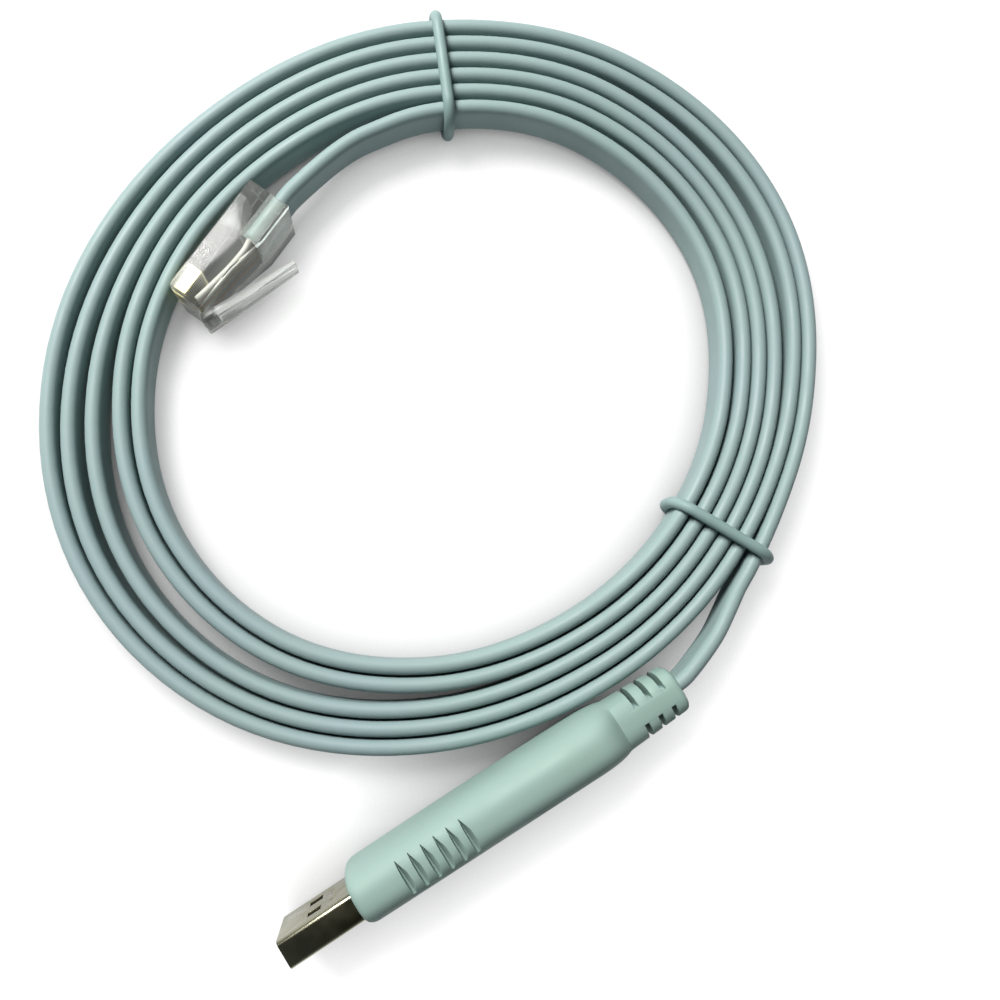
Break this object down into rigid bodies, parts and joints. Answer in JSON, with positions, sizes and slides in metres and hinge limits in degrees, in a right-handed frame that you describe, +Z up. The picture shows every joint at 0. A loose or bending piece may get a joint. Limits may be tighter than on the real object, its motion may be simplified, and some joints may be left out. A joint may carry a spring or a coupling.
{
  "type": "console cable",
  "caption": "Flat network console cable wound in a flat coil with wire ties, with a clear modular plug on one end and a moulded USB plug on the other.",
  "frame": {"origin": "on the floor, under the middle of the whole cable's box", "axes": "+Z up out of the face of the coil, +Y towards the top tie, away from the USB plug, +X towards the side where the lower tie is"},
  "size_m": [0.1264, 0.1514, 0.016],
  "materials": {
    "cable_jacket": "smooth satin pale blue-green jacket",
    "tie_coating": "satin pale blue-green coating on wire",
    "clear_plastic": "clear moulded polycarbonate, slightly milky",
    "gold_contact": "thin bright gold plating",
    "moulded_housing": "satin moulded soft vinyl",
    "plated_steel": "bright nickel-plated sheet",
    "white_insulator": "plain white moulded plastic"
  },
  "bodies": {
    "root": {"cable_coil": "cable_jacket", "rj45_lead": "cable_jacket", "usb_lead": "cable_jacket", "top_tie": "tie_coating", "lower_tie": "tie_coating", "rj45_body": "clear_plastic", "rj45_contact_1": "gold_contact", "rj45_contact_2": "gold_contact", "rj45_contact_3": "gold_contact", "rj45_contact_4": "gold_contact", "rj45_contact_5": "gold_contact", "rj45_contact_6": "gold_contact", "rj45_contact_7": "gold_contact", "rj45_contact_8": "gold_contact", "usb_housing": "moulded_housing", "usb_shell": "plated_steel", "usb_tongue": "white_insulator", "usb_contact_1": "gold_contact", "usb_contact_2": "gold_contact", "usb_contact_3": "gold_contact", "usb_contact_4": "gold_contact"}
  },
  "joints": []
}
